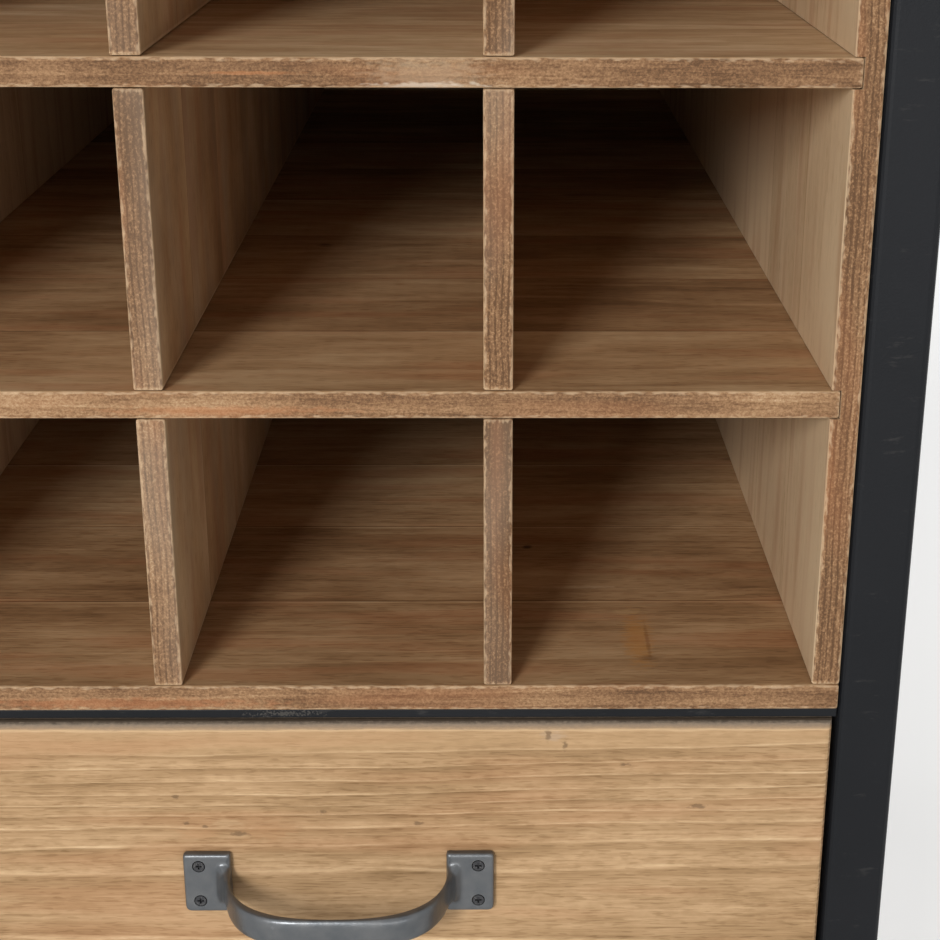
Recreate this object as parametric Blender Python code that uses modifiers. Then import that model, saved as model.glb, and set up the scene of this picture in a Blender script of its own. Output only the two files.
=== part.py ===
"""Bar cabinet: a wine rack of thin fir boards over one drawer, carried by a black steel tube frame.

Metres, +Z up, front facing -Y. The origin lies on the floor, under the middle of the whole object with
its pull. The drawer is parented to an empty on the line that it slides along.
"""
import math

import bmesh
import bpy
from mathutils import Matrix, Vector, geometry

# Wine rack: a lattice of cubbies, open at the front
COLUMNS = 3
ROWS = 4
CUBBY_WIDTH = 0.0975
CUBBY_HEIGHT = 0.0916
DIVIDER_THICKNESS = 0.0090
SHELF_THICKNESS = 0.0087
RACK_SIDE_THICKNESS = 0.0090
SHELF_HOUSING = 0.0030
RACK_ARRIS = 0.0007

# Back boards of the rack and of the drawer case
BACK_THICKNESS = 0.0060

# Steel frame of square tube and flat bar
FRAME_DEPTH = 0.6000
LEG_HEIGHT = 0.2000
TUBE = 0.0200
TUBE_WALL = 0.0015
TUBE_CORNER = 0.0025
FLAT_BAR_WIDTH = 0.0200
FLAT_BAR_THICKNESS = 0.0030
FLAT_BAR_SETBACK = 0.0010
GLIDE_FOOT = 0.0040
GLIDE_STEM = 0.0140

# Worktop
WORKTOP_THICKNESS = 0.0180
WORKTOP_OVERHANG = 0.0050
WORKTOP_ARRIS = 0.0020

# Drawer case below the rack
CASE_BOTTOM_THICKNESS = 0.0087
CASE_SIDE_THICKNESS = 0.0090
RUNNER_HEIGHT = 0.0140
RUNNER_DEPTH = 0.0060
RUNNER_SETBACK = 0.0130
RUNNER_REAR_GAP = 0.0225
RUNNER_SCREWS = 3
RUNNER_SCREW_INSET = 0.0350

# Drawer
FRONT_HEIGHT = 0.1190
FRONT_THICKNESS = 0.0180
FRONT_ARRIS = 0.0018
FRONT_SIDE_GAP = 0.0015
FRONT_TOP_GAP = 0.0009
FRONT_BOTTOM_GAP = 0.0015
BOX_HEIGHT = 0.0880
BOX_REAR_GAP = 0.0210
BOX_BOARD = 0.0120
BOX_LIFT = 0.0130
BOX_SIDE_GAP = 0.0012
BOX_ARRIS = 0.0010
DADO_DEPTH = 0.0045
PANEL_THICKNESS = 0.0050
PANEL_LIFT = 0.0100
BACK_INSET = 0.0080
GROOVE_LIFT = 0.0420

# Cast bridge pull
PULL_WIDTH = 0.1042
PLATE_WIDTH = 0.0160
PLATE_HEIGHT = 0.0222
PLATE_THICKNESS = 0.0030
PLATE_TOP_CORNER = 0.0009
PLATE_BOTTOM_CORNER = 0.0018
PLATE_BEVEL = 0.0008
PULL_PROJECTION = 0.0330
BAIL_THICKNESS = 0.0027
BAIL_HEIGHT = 0.0100
BAIL_ROOT = 0.0028
BAIL_FLARE_HEIGHT = 0.0075
BAIL_FLARE_WIDTH = 0.0040
BAIL_FLARE_LENGTH = 0.0060
BAIL_ROUNDNESS = 0.62
BAIL_STATIONS = 24
BAIL_SIDES = 24
SCREW_SPACING = 0.0134
SCREW_INSET = 0.0053

# Handles of the bail's two plan curves: lean and reach of the outer one, bulge and depth of the inner one
ARM_LEAN = 0.0043
ARM_REACH = 0.0016
FACE_HANDLE = 0.0200
BEND_BULGE = 0.0011
BEND_DEPTH = 0.0038
GRIP_HANDLE = 0.0135

# Countersunk screws: of the pull and of the runners
PULL_SCREW = {"head": 0.0019, "shank": 0.0011, "length": 0.0150}
RUNNER_SCREW = {"head": 0.0028, "shank": 0.0015, "length": 0.0130}
SCREW_RIM = 0.0004
RECESS_WIDTH = 0.0006
RECESS_REACH = 0.0011
RECESS_DEPTH = 0.0011

# Gaps between boards that touch, and round what is set in a hole or a groove
SEAT = 0.0003
HOLE_CLEARANCE = 0.0003
RUNNING_CLEARANCE = 0.0005

# Sizes that follow
RACK_INNER_WIDTH = COLUMNS * CUBBY_WIDTH + (COLUMNS - 1) * DIVIDER_THICKNESS
RACK_WIDTH = RACK_INNER_WIDTH + 2 * RACK_SIDE_THICKNESS
COLUMN_PITCH = CUBBY_WIDTH + DIVIDER_THICKNESS
ROW_PITCH = CUBBY_HEIGHT + SHELF_THICKNESS
POST_INNER = RACK_WIDTH / 2 + SEAT
FRAME_HALF = POST_INNER + TUBE

FRONT_Y = PULL_PROJECTION / 2 - FRAME_DEPTH / 2
REAR_Y = FRONT_Y + FRAME_DEPTH
BACK_Y = REAR_Y - BACK_THICKNESS

CASE_BOTTOM_Z = LEG_HEIGHT + TUBE + SEAT
CASE_FLOOR_Z = CASE_BOTTOM_Z + CASE_BOTTOM_THICKNESS
FRONT_BOTTOM_Z = CASE_FLOOR_Z + FRONT_BOTTOM_GAP
FRONT_TOP_Z = FRONT_BOTTOM_Z + FRONT_HEIGHT
FLAT_BAR_Z = FRONT_TOP_Z + FRONT_TOP_GAP
RACK_BOTTOM_Z = FLAT_BAR_Z + FLAT_BAR_THICKNESS + SEAT
RACK_FLOOR_Z = RACK_BOTTOM_Z + SHELF_THICKNESS
RACK_CEILING_Z = RACK_FLOOR_Z + ROWS * ROW_PITCH - SHELF_THICKNESS
RACK_TOP_Z = RACK_CEILING_Z + SHELF_THICKNESS
TOP_RAIL_Z = RACK_TOP_Z + SEAT
FRAME_TOP_Z = TOP_RAIL_Z + TUBE
WORKTOP_Z = FRAME_TOP_Z + SEAT

BOX_HALF = POST_INNER - SEAT - CASE_SIDE_THICKNESS - BOX_SIDE_GAP
BOX_INNER = BOX_HALF - BOX_BOARD
BOX_BOTTOM_Z = FRONT_BOTTOM_Z + BOX_LIFT
BOX_TOP_Z = BOX_BOTTOM_Z + BOX_HEIGHT
FRONT_BACK_Y = FRONT_Y + FRONT_THICKNESS
CASE_FRONT_Y = FRONT_BACK_Y + RUNNING_CLEARANCE
BOX_REAR_Y = BACK_Y - BOX_REAR_GAP
PANEL_Z = BOX_BOTTOM_Z + PANEL_LIFT
GROOVE_Z = BOX_BOTTOM_Z + GROOVE_LIFT
RUNNER_Z = GROOVE_Z + RUNNING_CLEARANCE
RUNNER_FRONT_Y = CASE_FRONT_Y + RUNNER_SETBACK
RUNNER_REAR_Y = BACK_Y - RUNNER_REAR_GAP
PULL_Z = FRONT_BOTTOM_Z + FRONT_HEIGHT / 2

ALONG_X = Vector((1, 0, 0))
ALONG_Y = Vector((0, 1, 0))
ALONG_Z = Vector((0, 0, 1))


def clear_scene():
    for old in list(bpy.data.objects):
        bpy.data.objects.remove(old, do_unlink=True)


def make_collection(name):
    group = bpy.data.collections.new(name)
    bpy.context.scene.collection.children.link(group)
    return group


def make_material(name, colour, roughness, metallic=0.0):
    material = bpy.data.materials.new(name)
    material.use_nodes = True
    shader = material.node_tree.nodes["Principled BSDF"]
    shader.inputs["Base Color"].default_value = (*colour, 1.0)
    shader.inputs["Roughness"].default_value = roughness
    shader.inputs["Metallic"].default_value = metallic
    return material


clear_scene()
CABINET = make_collection("bar_cabinet")
CUTTERS = make_collection("bar_cabinet_cutters")

BROWN_FIR = make_material("brown_fir", (0.26, 0.15, 0.08), 0.75)
HONEY_FIR = make_material("honey_fir", (0.50, 0.32, 0.16), 0.65)
PALE_WOOD = make_material("pale_wood", (0.55, 0.40, 0.24), 0.70)
BLACK_STEEL = make_material("black_steel", (0.018, 0.020, 0.024), 0.45, 0.6)
CAST_IRON = make_material("cast_iron", (0.13, 0.135, 0.14), 0.40, 0.8)
BLACK_SCREW = make_material("black_screw", (0.02, 0.02, 0.02), 0.45, 0.7)
BLACK_PLASTIC = make_material("black_plastic", (0.02, 0.02, 0.02), 0.60)


def add_object(name, data, material=None, group=CABINET):
    piece = bpy.data.objects.new(name, data)
    group.objects.link(piece)
    if material:
        data.materials.append(material)
    return piece


def add_bevel(piece, width, segments=2):
    bevel = piece.modifiers.new("arris", "BEVEL")
    bevel.width = width
    bevel.segments = segments
    bevel.limit_method = "ANGLE"


def block(name, low, high, material=None, arris=0.0, group=CABINET):
    """A board between two corners, its edges eased by arris."""
    low = Vector(low)
    high = Vector(high)
    mesh = bmesh.new()
    bmesh.ops.create_cube(mesh, size=1.0)
    bmesh.ops.scale(mesh, vec=high - low, verts=mesh.verts)
    data = bpy.data.meshes.new(name)
    mesh.to_mesh(data)
    mesh.free()
    piece = add_object(name, data, material, group)
    piece.location = (low + high) / 2
    if arris:
        add_bevel(piece, arris)
    return piece


def as_cutter(tool):
    tool.hide_render = True
    tool.display_type = "WIRE"
    return tool


def boolean(piece, tool, operation="DIFFERENCE"):
    step = piece.modifiers.new(operation.lower(), "BOOLEAN")
    step.operation = operation
    step.solver = "EXACT"
    step.object = tool


def cut_block(piece, low, high):
    tool = block(piece.name + "_cut", low, high, group=CUTTERS)
    boolean(piece, as_cutter(tool))


def rounded_square(side, corner, steps=4):
    """Corner points of a square outline with round corners, anticlockwise about its centre."""
    points = []
    for turn in range(4):
        start = turn * math.pi / 2
        centre = Matrix.Rotation(start, 2) @ Vector((side / 2 - corner, side / 2 - corner))
        for step in range(steps + 1):
            angle = start + step * math.pi / 2 / steps
            points.append(centre + corner * Vector((math.cos(angle), math.sin(angle))))
    return points


def add_outline(curve, points):
    spline = curve.splines.new("POLY")
    spline.points.add(len(points) - 1)
    for place, point in zip(spline.points, points):
        place.co = (point.x, point.y, 0.0, 1.0)
    spline.use_cyclic_u = True


def square_tube(name, middle, direction, length):
    """A length of square tube, open at both ends, centred on middle."""
    curve = bpy.data.curves.new(name, "CURVE")
    curve.dimensions = "2D"
    curve.fill_mode = "BOTH"
    curve.extrude = length / 2
    inner_corner = max(TUBE_CORNER - TUBE_WALL, TUBE_WALL / 2)
    add_outline(curve, rounded_square(TUBE, TUBE_CORNER))
    add_outline(curve, rounded_square(TUBE - 2 * TUBE_WALL, inner_corner))
    tube = add_object(name, curve, BLACK_STEEL)
    tube.location = middle
    tube.rotation_mode = "QUATERNION"
    tube.rotation_quaternion = ALONG_Z.rotation_difference(direction)
    return tube


def build_frame():
    """Four posts with rails at the top, under the drawer and, as flat bar, under the rack."""
    front = FRONT_Y + TUBE / 2
    rear = REAR_Y - TUBE / 2
    across = POST_INNER + TUBE / 2
    post_low = GLIDE_FOOT + SEAT
    for side, sign in (("left", -1), ("right", 1)):
        for end, y in (("front", front), ("rear", rear)):
            middle = (sign * across, y, (post_low + FRAME_TOP_Z) / 2)
            square_tube(f"post_{end}_{side}", middle, ALONG_Z, FRAME_TOP_Z - post_low)
            build_glide(f"glide_{end}_{side}", sign * across, y)

    rail_width = 2 * POST_INNER - 2 * SEAT
    rail_depth = FRAME_DEPTH - 2 * TUBE - 2 * SEAT
    for level, z in (("top", TOP_RAIL_Z), ("bottom", LEG_HEIGHT)):
        height = z + TUBE / 2
        for end, y in (("front", front), ("rear", rear)):
            square_tube(f"{level}_rail_{end}", (0, y, height), ALONG_X, rail_width)
        for side, sign in (("left", -1), ("right", 1)):
            middle = (sign * across, (front + rear) / 2, height)
            square_tube(f"{level}_rail_{side}", middle, ALONG_Y, rail_depth)

    build_flat_bars(rail_width / 2, rail_depth / 2, across, (front + rear) / 2)


def build_flat_bars(half_width, half_depth, across, middle_y):
    low = FLAT_BAR_Z
    high = FLAT_BAR_Z + FLAT_BAR_THICKNESS
    starts = (("front", FRONT_Y + FLAT_BAR_SETBACK), ("rear", REAR_Y - FLAT_BAR_SETBACK - FLAT_BAR_WIDTH))
    for end, y in starts:
        corner = (half_width, y + FLAT_BAR_WIDTH, high)
        block(f"rack_bar_{end}", (-half_width, y, low), corner, BLACK_STEEL, FLAT_BAR_THICKNESS / 10)
    for side, sign in (("left", -1), ("right", 1)):
        x = sign * across
        reach = FLAT_BAR_WIDTH / 2
        block(f"rack_bar_{side}", (x - reach, middle_y - half_depth, low),
              (x + reach, middle_y + half_depth, high), BLACK_STEEL, FLAT_BAR_THICKNESS / 10)


def build_glide(name, x, y):
    """End glide: a square foot with a stem that fills the post's bore."""
    curve = bpy.data.curves.new(name + "_foot", "CURVE")
    curve.dimensions = "2D"
    curve.fill_mode = "BOTH"
    curve.extrude = GLIDE_FOOT / 2
    add_outline(curve, rounded_square(TUBE, TUBE_CORNER))
    outline = add_object(name + "_outline", curve, BLACK_PLASTIC)
    outline.location = (x, y, GLIDE_FOOT / 2)
    glide = curve_to_mesh(outline, name)
    stem = TUBE / 2 - TUBE_WALL - HOLE_CLEARANCE
    tool = block(name + "_stem", (x - stem, y - stem, GLIDE_FOOT / 2),
                 (x + stem, y + stem, GLIDE_FOOT + GLIDE_STEM), group=CUTTERS)
    boolean(glide, as_cutter(tool), "UNION")


def curve_to_mesh(curve_object, name):
    """A closed mesh in the curve's place: its caps are welded and the curve is removed."""
    bpy.context.view_layer.update()
    graph = bpy.context.evaluated_depsgraph_get()
    data = bpy.data.meshes.new_from_object(curve_object.evaluated_get(graph))
    mesh = bmesh.new()
    mesh.from_mesh(data)
    bmesh.ops.remove_doubles(mesh, verts=mesh.verts, dist=0.00001)
    mesh.to_mesh(data)
    mesh.free()
    piece = bpy.data.objects.new(name, data)
    CABINET.objects.link(piece)
    piece.matrix_world = curve_object.matrix_world.copy()
    old = curve_object.data
    bpy.data.objects.remove(curve_object, do_unlink=True)
    bpy.data.curves.remove(old)
    return piece


def build_rack():
    """Full-width boards below and above, sides between them, shelves housed in the sides."""
    half = RACK_WIDTH / 2
    inner = RACK_INNER_WIDTH / 2
    rear = BACK_Y - SEAT
    block("rack_bottom", (-half, FRONT_Y, RACK_BOTTOM_Z), (half, rear, RACK_FLOOR_Z), BROWN_FIR, RACK_ARRIS)
    block("rack_top", (-half, FRONT_Y, RACK_CEILING_Z), (half, rear, RACK_TOP_Z), BROWN_FIR, RACK_ARRIS)
    block("rack_back", (-half, BACK_Y, RACK_BOTTOM_Z), (half, REAR_Y, RACK_TOP_Z), PALE_WOOD, RACK_ARRIS)

    reach = inner + SHELF_HOUSING - SEAT
    shelf_heights = [RACK_FLOOR_Z + row * ROW_PITCH - SHELF_THICKNESS for row in range(1, ROWS)]
    for number, z in enumerate(shelf_heights, start=1):
        block(f"rack_shelf_{number}", (-reach, FRONT_Y, z), (reach, rear, z + SHELF_THICKNESS),
              BROWN_FIR, RACK_ARRIS)

    for side, sign in (("left", -1), ("right", 1)):
        near, far = sorted((sign * inner, sign * half))
        board = block(f"rack_side_{side}", (near, FRONT_Y, RACK_FLOOR_Z + SEAT),
                      (far, rear, RACK_CEILING_Z - SEAT), BROWN_FIR, RACK_ARRIS)
        housing = sorted((sign * (inner - SHELF_HOUSING), sign * (inner + SHELF_HOUSING)))
        for z in shelf_heights:
            cut_block(board, (housing[0], FRONT_Y - TUBE, z - SEAT),
                      (housing[1], rear + TUBE, z + SHELF_THICKNESS + SEAT))

    for row in range(ROWS):
        low = RACK_FLOOR_Z + row * ROW_PITCH + SEAT
        for column in range(1, COLUMNS):
            x = -inner + column * COLUMN_PITCH - DIVIDER_THICKNESS
            block(f"rack_divider_{row + 1}_{column}", (x, FRONT_Y, low),
                  (x + DIVIDER_THICKNESS, rear, low + CUBBY_HEIGHT - 2 * SEAT), BROWN_FIR, RACK_ARRIS)


def build_worktop():
    half = FRAME_HALF + WORKTOP_OVERHANG
    block("worktop", (-half, FRONT_Y - WORKTOP_OVERHANG, WORKTOP_Z),
          (half, REAR_Y, WORKTOP_Z + WORKTOP_THICKNESS), HONEY_FIR, WORKTOP_ARRIS)


def build_case():
    """The drawer's case stands on the bottom rails, behind the drawer front."""
    half = RACK_WIDTH / 2
    rear = BACK_Y - SEAT
    ceiling = FLAT_BAR_Z - SEAT
    block("case_bottom", (-half, FRONT_Y, CASE_BOTTOM_Z), (half, rear, CASE_FLOOR_Z), BROWN_FIR, RACK_ARRIS)
    block("case_back", (-half, BACK_Y, CASE_BOTTOM_Z), (half, REAR_Y, ceiling), PALE_WOOD, RACK_ARRIS)
    screw_heights = RUNNER_Z + RUNNER_HEIGHT / 2
    first_screw = RUNNER_FRONT_Y + RUNNER_SCREW_INSET
    screw_pitch = (RUNNER_REAR_Y - RUNNER_SCREW_INSET - first_screw) / (RUNNER_SCREWS - 1)
    screw_depths = [first_screw + number * screw_pitch for number in range(RUNNER_SCREWS)]
    for side, sign in (("left", -1), ("right", 1)):
        face = sign * (half - CASE_SIDE_THICKNESS)
        near, far = sorted((face, sign * half))
        board = block(f"case_side_{side}", (near, CASE_FRONT_Y, CASE_FLOOR_Z + SEAT), (far, rear, ceiling),
                      BROWN_FIR, RACK_ARRIS)
        seat = face - sign * SEAT
        near, far = sorted((seat, seat - sign * RUNNER_DEPTH))
        runner = block(f"runner_{side}", (near, RUNNER_FRONT_Y, RUNNER_Z),
                       (far, RUNNER_REAR_Y, RUNNER_Z + RUNNER_HEIGHT), PALE_WOOD, RACK_ARRIS)
        for number, y in enumerate(screw_depths, start=1):
            place = Vector((seat - sign * RUNNER_DEPTH, y, screw_heights))
            outward = Vector((-sign, 0, 0))
            name = f"runner_screw_{side}_{number}"
            build_screw(name, place, outward, RUNNER_SCREW)
            bore = screw_bore(name + "_bore", place, outward, RUNNER_SCREW)
            boolean(runner, bore)
            boolean(board, bore)


def screw_profile(size, clearance=0.0):
    """Half section of a countersunk screw, head at the top, from the outer edge of the head down."""
    head = size["head"] + clearance
    shank = size["shank"] + clearance
    length = size["length"] + clearance
    cone = head - shank
    rim = SCREW_RIM - clearance
    points = [(0.0, clearance), (head, clearance), (head, -rim), (shank, -rim - cone)]
    points += [(shank, shank - length), (0.0, -length)]
    return points


def turned(name, points, group, material=None):
    """A profile turned about Z with a Screw modifier."""
    data = bpy.data.meshes.new(name)
    mesh = bmesh.new()
    corners = [mesh.verts.new((r, 0.0, z)) for r, z in points]
    for first, second in zip(corners, corners[1:]):
        mesh.edges.new((first, second))
    mesh.to_mesh(data)
    mesh.free()
    piece = add_object(name, data, material, group)
    spin = piece.modifiers.new("turn", "SCREW")
    spin.angle = 2 * math.pi
    spin.steps = 16
    spin.render_steps = 16
    spin.use_merge_vertices = True
    spin.merge_threshold = 0.00002
    spin.use_smooth_shade = True
    return piece


def point_along(piece, place, outward):
    piece.location = place
    piece.rotation_mode = "QUATERNION"
    piece.rotation_quaternion = ALONG_Z.rotation_difference(outward)


def screw_bore(name, place, outward, size):
    tool = turned(name, screw_profile(size, HOLE_CLEARANCE), CUTTERS)
    point_along(tool, place, outward)
    return as_cutter(tool)


def build_screw(name, place, outward, size):
    """A countersunk screw with a cross recess, its head flush at place."""
    screw = turned(name, screw_profile(size), CABINET, BLACK_SCREW)
    point_along(screw, place, outward)
    for turn in (0, 1):
        reach = Vector((RECESS_REACH, RECESS_WIDTH / 2, RECESS_DEPTH))
        if turn:
            reach.xy = reach.yx
        tool = block(f"{name}_recess_{turn}", -reach, reach, group=CUTTERS)
        point_along(tool, place, outward)
        boolean(screw, as_cutter(tool))
    return screw


def build_drawer_box():
    """Grooved sides, a back between them and a thin bottom panel that slides in under the back."""
    side_front = FRONT_BACK_Y - DADO_DEPTH + SEAT
    panel_top = PANEL_Z + PANEL_THICKNESS
    panel_reach = BOX_INNER + DADO_DEPTH - SEAT
    back_reach = BOX_INNER - SEAT
    runner_cut = BOX_HALF + BOX_SIDE_GAP - SEAT - RUNNER_DEPTH - RUNNING_CLEARANCE
    pieces = []
    for side, sign in (("left", -1), ("right", 1)):
        near, far = sorted((sign * BOX_INNER, sign * BOX_HALF))
        board = block(f"drawer_side_{side}", (near, side_front, BOX_BOTTOM_Z), (far, BOX_REAR_Y, BOX_TOP_Z),
                      PALE_WOOD, BOX_ARRIS)
        near, far = sorted((sign * (BOX_INNER - DADO_DEPTH), sign * (BOX_INNER + DADO_DEPTH)))
        cut_block(board, (near, side_front - TUBE, PANEL_Z - SEAT),
                  (far, BOX_REAR_Y + TUBE, panel_top + SEAT))
        near, far = sorted((sign * runner_cut, sign * (BOX_HALF + DADO_DEPTH)))
        cut_block(board, (near, RUNNER_FRONT_Y - RUNNING_CLEARANCE, GROOVE_Z),
                  (far, BOX_REAR_Y + TUBE, RUNNER_Z + RUNNER_HEIGHT + RUNNING_CLEARANCE))
        pieces.append(board)

    back_front = BOX_REAR_Y - BOX_BOARD - BACK_INSET
    pieces.append(block("drawer_back", (-back_reach, back_front, panel_top + SEAT),
                        (back_reach, back_front + BOX_BOARD, BOX_TOP_Z), PALE_WOOD, BOX_ARRIS))
    pieces.append(block("drawer_bottom", (-panel_reach, side_front, PANEL_Z),
                        (panel_reach, BOX_REAR_Y, panel_top), PALE_WOOD))
    return pieces


def build_drawer_front(screw_places):
    """Solid front with worn edges, dados for the box sides and its panel, and pilot holes."""
    half = POST_INNER - FRONT_SIDE_GAP
    front = block("drawer_front", (-half, FRONT_Y, FRONT_BOTTOM_Z), (half, FRONT_BACK_Y, FRONT_TOP_Z),
                  HONEY_FIR)
    wear_front_edges(front)
    floor = FRONT_BACK_Y - DADO_DEPTH
    for sign in (-1, 1):
        near, far = sorted((sign * (BOX_INNER - SEAT), sign * (BOX_HALF + SEAT)))
        cut_block(front, (near, floor, BOX_BOTTOM_Z - SEAT), (far, FRONT_BACK_Y + TUBE, BOX_TOP_Z + SEAT))
    cut_block(front, (-BOX_INNER, floor, PANEL_Z - SEAT),
              (BOX_INNER, FRONT_BACK_Y + TUBE, PANEL_Z + PANEL_THICKNESS + SEAT))
    for number, place in enumerate(screw_places, start=1):
        boolean(front, screw_bore(f"front_pilot_{number}", place, -ALONG_Y, PULL_SCREW))
    return front


def wear_front_edges(front):
    """A rounder arris along the edges of the front face alone, by bevel weight."""
    data = front.data
    weights = data.attributes.new("bevel_weight_edge", "FLOAT", "EDGE")
    for edge in data.edges:
        in_front = [data.vertices[corner].co.y < 0.0 for corner in edge.vertices]
        weights.data[edge.index].value = 1.0 if all(in_front) else 0.0
    bevel = front.modifiers.new("worn arris", "BEVEL")
    bevel.width = FRONT_ARRIS
    bevel.segments = 3
    bevel.limit_method = "WEIGHT"


def pull_screw_places():
    """Where the four screw heads lie, on the faces of the two plates."""
    across = PULL_WIDTH / 2 - SCREW_INSET
    face = FRONT_Y - SEAT - PLATE_THICKNESS
    places = []
    for sign in (-1, 1):
        for way in (1, -1):
            places.append(Vector((sign * across, face, PULL_Z + way * SCREW_SPACING / 2)))
    return places


def bail_rails():
    """Plan curves of the half bail, from the plate to the middle: its outer and inner faces."""
    plate_inner = PULL_WIDTH / 2 - PLATE_WIDTH
    root = FRONT_Y - SEAT - PLATE_THICKNESS / 2
    outer_y = FRONT_Y - PULL_PROJECTION
    inner_y = outer_y + BAIL_THICKNESS
    outer_x = plate_inner + BAIL_ROOT
    outer = ((outer_x, root), (outer_x - ARM_LEAN, outer_y - ARM_REACH), (FACE_HANDLE, outer_y),
             (0.0, outer_y))
    inner = ((plate_inner, root), (plate_inner + BEND_BULGE, inner_y + BEND_DEPTH), (GRIP_HANDLE, inner_y),
             (0.0, inner_y))
    curves = []
    for knots in (outer, inner):
        points = [Vector((x, y, 0.0)) for x, y in knots]
        curves.append(geometry.interpolate_bezier(*points, BAIL_STATIONS))
    return curves


def bail_section(outer, inner):
    """One rounded section of the bail, flared where it runs into its plate."""
    face = FRONT_Y - SEAT - PLATE_THICKNESS
    run = min(max((face - (outer.y + inner.y) / 2) / BAIL_FLARE_LENGTH, 0.0), 1.0)
    flare = 1.0 - math.sqrt(1.0 - (1.0 - run) ** 2)
    wide = outer + flare * BAIL_FLARE_WIDTH * ALONG_X
    middle = (wide + inner) / 2
    half = (wide - inner) / 2
    height = BAIL_HEIGHT / 2 + flare * BAIL_FLARE_HEIGHT / 2
    points = []
    for step in range(BAIL_SIDES):
        angle = 2 * math.pi * step / BAIL_SIDES
        along = math.copysign(abs(math.cos(angle)) ** BAIL_ROUNDNESS, math.cos(angle))
        up = math.copysign(abs(math.sin(angle)) ** BAIL_ROUNDNESS, math.sin(angle))
        points.append(middle + along * half + up * height * ALONG_Z)
    return points


def build_bail():
    """The bail as a loft through its sections, from one plate over the middle to the other."""
    outer, inner = bail_rails()
    right = [bail_section(far, near) for far, near in zip(outer, inner)]
    left = [[Vector((-p.x, p.y, p.z)) for p in ring] for ring in reversed(right[:-1])]
    mesh = bmesh.new()
    rings = [[mesh.verts.new(p + PULL_Z * ALONG_Z) for p in ring] for ring in right + left]
    for first, second in zip(rings, rings[1:]):
        for step in range(BAIL_SIDES):
            after = (step + 1) % BAIL_SIDES
            mesh.faces.new((first[step], first[after], second[after], second[step]))
    mesh.faces.new(rings[0])
    mesh.faces.new(rings[-1])
    bmesh.ops.recalc_face_normals(mesh, faces=mesh.faces)
    data = bpy.data.meshes.new("bail")
    mesh.to_mesh(data)
    mesh.free()
    return add_object("bail", data, group=CUTTERS)


def build_plate(name, sign, group):
    """Plate of the pull: round outer corners, then eased edges on its face."""
    inner_x = sign * (PULL_WIDTH / 2 - PLATE_WIDTH)
    near, far = sorted((inner_x, sign * PULL_WIDTH / 2))
    back = FRONT_Y - SEAT
    low = Vector((near, back - PLATE_THICKNESS, PULL_Z - PLATE_HEIGHT / 2))
    high = Vector((far, back, PULL_Z + PLATE_HEIGHT / 2))
    mesh = bmesh.new()
    bmesh.ops.create_cube(mesh, size=1.0)
    bmesh.ops.scale(mesh, vec=high - low, verts=mesh.verts)
    bmesh.ops.translate(mesh, vec=(low + high) / 2, verts=mesh.verts)
    upright = [e for e in mesh.edges if abs((e.verts[0].co - e.verts[1].co).y) > PLATE_THICKNESS / 2]
    corners = [e for e in upright if abs(e.verts[0].co.x) > PULL_WIDTH / 2 - PLATE_BEVEL]
    for way, radius in ((1, PLATE_TOP_CORNER), (-1, PLATE_BOTTOM_CORNER)):
        chosen = [e for e in corners if e.is_valid and way * (e.verts[0].co.z - PULL_Z) > PLATE_HEIGHT / 4]
        bmesh.ops.bevel(mesh, geom=chosen, offset=radius, segments=4, profile=0.5, affect="EDGES")
    face_y = back - PLATE_THICKNESS + SEAT / 3
    rim = [e for e in mesh.edges if all(v.co.y < face_y for v in e.verts)]
    bmesh.ops.bevel(mesh, geom=rim, offset=PLATE_BEVEL, segments=2, profile=0.5, affect="EDGES")
    data = bpy.data.meshes.new(name)
    mesh.to_mesh(data)
    mesh.free()
    return add_object(name, data, CAST_IRON, group)


def build_pull(screw_places):
    """One casting: two plates and the bail between them, with four countersunk holes."""
    pull = build_plate("drawer_pull", -1, CABINET)
    plate = build_plate("right_plate", 1, CUTTERS)
    boolean(pull, as_cutter(plate), "UNION")
    boolean(pull, as_cutter(build_bail()), "UNION")
    for number, place in enumerate(screw_places, start=1):
        boolean(pull, screw_bore(f"pull_hole_{number}", place, -ALONG_Y, PULL_SCREW))
    even = pull.modifiers.new("even shading", "WEIGHTED_NORMAL")
    even.keep_sharp = True
    return pull


def build_drawer():
    """Every piece that slides hangs on an empty on the drawer's centre line."""
    slide = bpy.data.objects.new("drawer_slide", None)
    CABINET.objects.link(slide)
    slide.location = (0.0, FRONT_Y, GROOVE_Z)
    places = pull_screw_places()
    pieces = build_drawer_box()
    pieces.append(build_drawer_front(places))
    pieces.append(build_pull(places))
    for number, place in enumerate(places, start=1):
        pieces.append(build_screw(f"pull_screw_{number}", place, -ALONG_Y, PULL_SCREW))
    bpy.context.view_layer.update()
    for piece in pieces:
        piece.parent = slide
        piece.matrix_parent_inverse = slide.matrix_world.inverted()


def shade_round_pieces():
    for piece in CABINET.objects:
        if piece.type == "MESH" and piece.name.startswith(("drawer_pull", "pull_screw", "runner_screw")):
            piece.data.shade_smooth()
            piece.data.set_sharp_from_angle(angle=math.radians(40))


build_frame()
build_rack()
build_worktop()
build_case()
build_drawer()
shade_round_pieces()
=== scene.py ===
"""Looks of the bar cabinet: stained and brushed fir, black steel and a cast pull, in soft studio light."""

import math
from types import SimpleNamespace

import bmesh
import bpy
from mathutils import Matrix, Vector


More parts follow.
